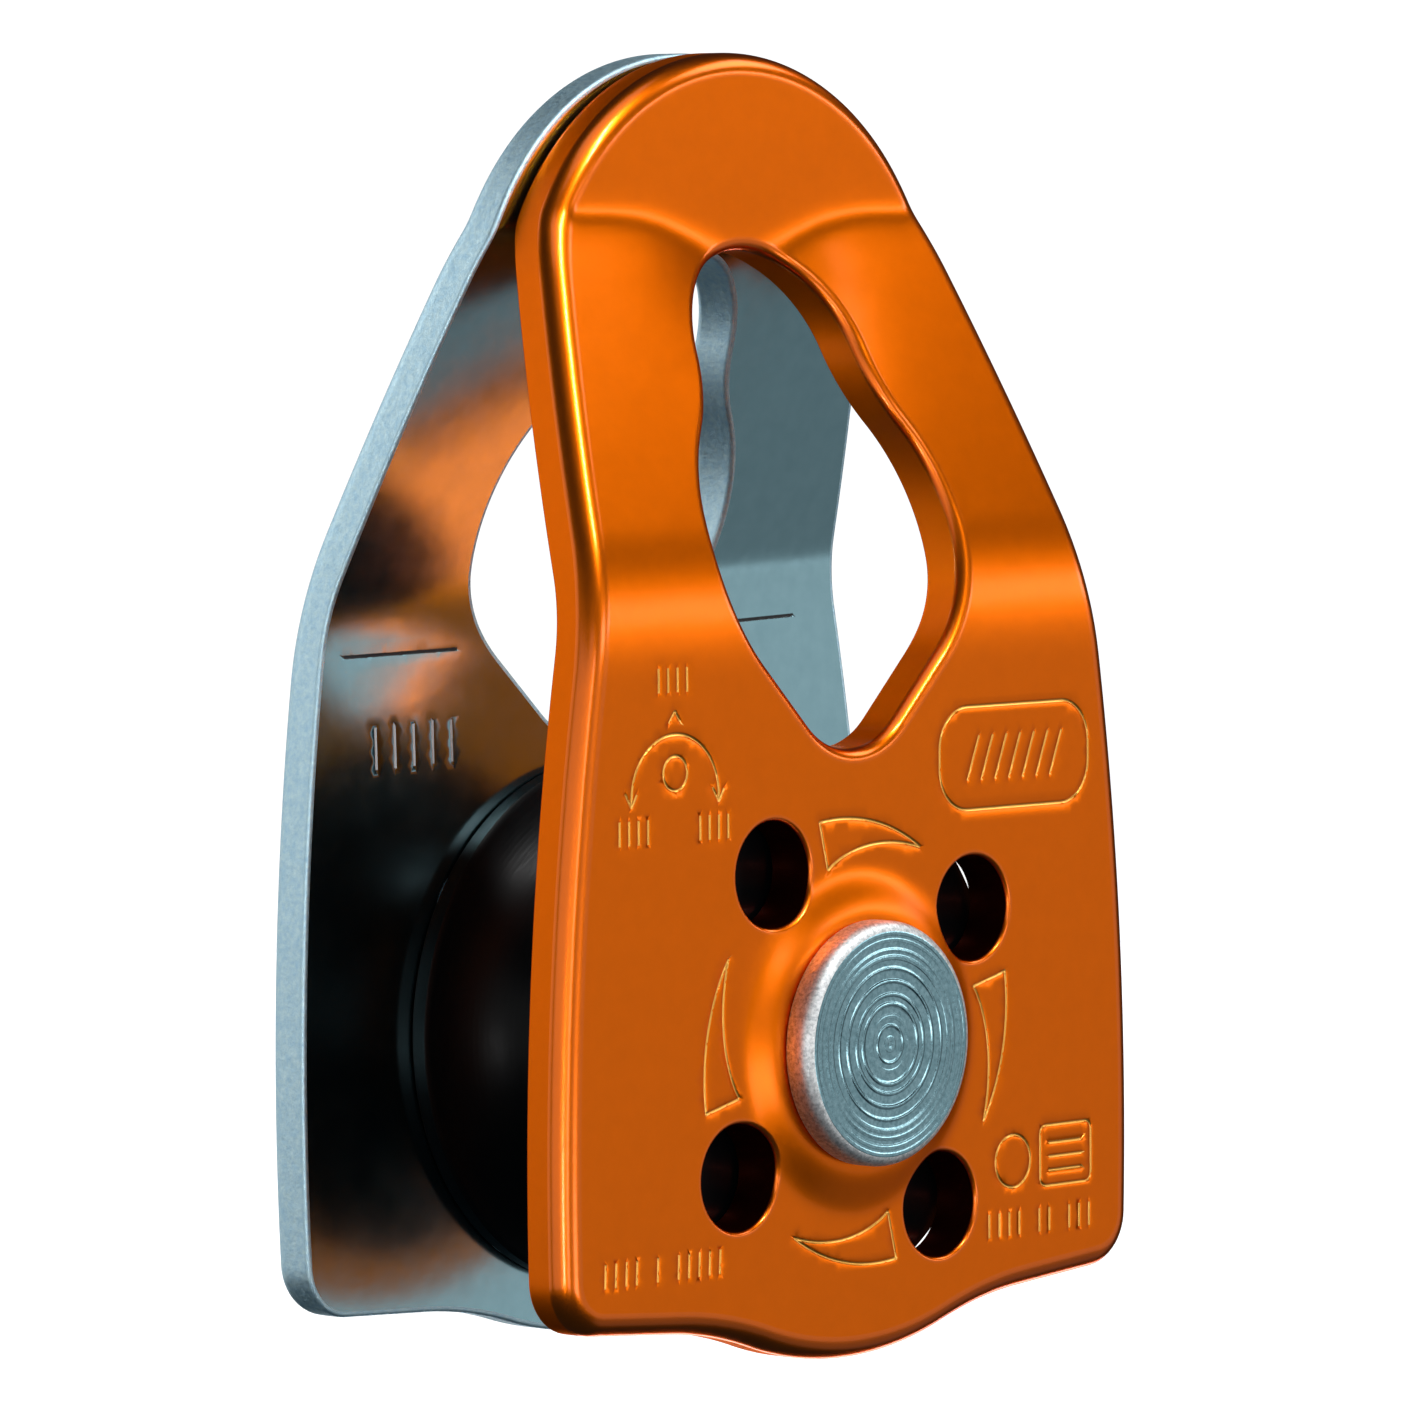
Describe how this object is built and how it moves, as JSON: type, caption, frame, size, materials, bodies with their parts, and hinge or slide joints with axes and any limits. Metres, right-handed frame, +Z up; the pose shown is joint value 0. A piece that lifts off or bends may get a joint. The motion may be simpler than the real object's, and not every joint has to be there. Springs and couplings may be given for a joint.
{
  "type": "rope pulley",
  "caption": "Rope pulley: two bent swinging side plates on one riveted axle, a grooved sheave on ball bearings, and a carabiner eye through both plates.",
  "frame": {"origin": "centre of the axle, midway between the side plates, which is the centre of the sheave's groove", "axes": "+Z up from the axle to the carabiner eye, +Y along the axle from the orange front plate to the rear plate, +X to the right seen from the front"},
  "size_m": [0.0603, 0.0358, 0.0926],
  "materials": {
    "orange_anodised": "satin orange anodised aluminium with fine grain",
    "tumbled_aluminium": "tumbled, clear anodised aluminium",
    "black_anodised": "turned and black anodised aluminium",
    "axle_steel": "turned stainless steel with concentric tool marks",
    "spacer_steel": "ground steel",
    "bearing_steel": "ground bearing steel",
    "ball_steel": "polished balls",
    "cage_polymer": "moulded polyamide",
    "seal_rubber": "moulded rubber",
    "washer_polymer": "acetal"
  },
  "bodies": {
    "front_plate": {"front_side_plate": "orange_anodised"},
    "axle_group": {"axle": "axle_steel", "rear_axle_head": "axle_steel", "bearing_spacer": "spacer_steel", "front_thrust_washer": "washer_polymer", "rear_thrust_washer": "washer_polymer", "front_bearing_inner_ring": "bearing_steel", "rear_bearing_inner_ring": "bearing_steel"},
    "sheave_group": {"sheave": "black_anodised", "front_bearing_outer_ring": "bearing_steel", "front_bearing_outer_seal": "seal_rubber", "front_bearing_inner_seal": "seal_rubber", "rear_bearing_outer_ring": "bearing_steel", "rear_bearing_outer_seal": "seal_rubber", "rear_bearing_inner_seal": "seal_rubber"},
    "front_ball_set": {"front_bearing_balls": "ball_steel", "front_bearing_cage": "cage_polymer"},
    "rear_ball_set": {"rear_bearing_balls": "ball_steel", "rear_bearing_cage": "cage_polymer"},
    "rear_plate": {"rear_side_plate": "tumbled_aluminium"}
  },
  "joints": [
    {"name": "axle_turn", "type": "hinge", "parent": "front_plate", "child": "axle_group", "pos_m": [0, 0, 0], "axis": [0, 1, 0], "continuous": true},
    {"name": "rear_plate_swing", "type": "hinge", "parent": "axle_group", "child": "rear_plate", "pos_m": [0, 0, 0], "axis": [0, 1, 0], "continuous": true},
    {"name": "sheave_spin", "type": "hinge", "parent": "axle_group", "child": "sheave_group", "pos_m": [0, 0, 0], "axis": [0, 1, 0], "continuous": true},
    {"name": "front_cage_spin", "type": "hinge", "parent": "axle_group", "child": "front_ball_set", "pos_m": [0, 0, 0], "axis": [0, 1, 0], "continuous": true},
    {"name": "rear_cage_spin", "type": "hinge", "parent": "axle_group", "child": "rear_ball_set", "pos_m": [0, 0, 0], "axis": [0, 1, 0], "continuous": true}
  ],
  "couplings": [
    {"joint": "front_cage_spin", "follows": "sheave_spin", "ratio": 0.5727},
    {"joint": "rear_cage_spin", "follows": "sheave_spin", "ratio": 0.5727}
  ]
}
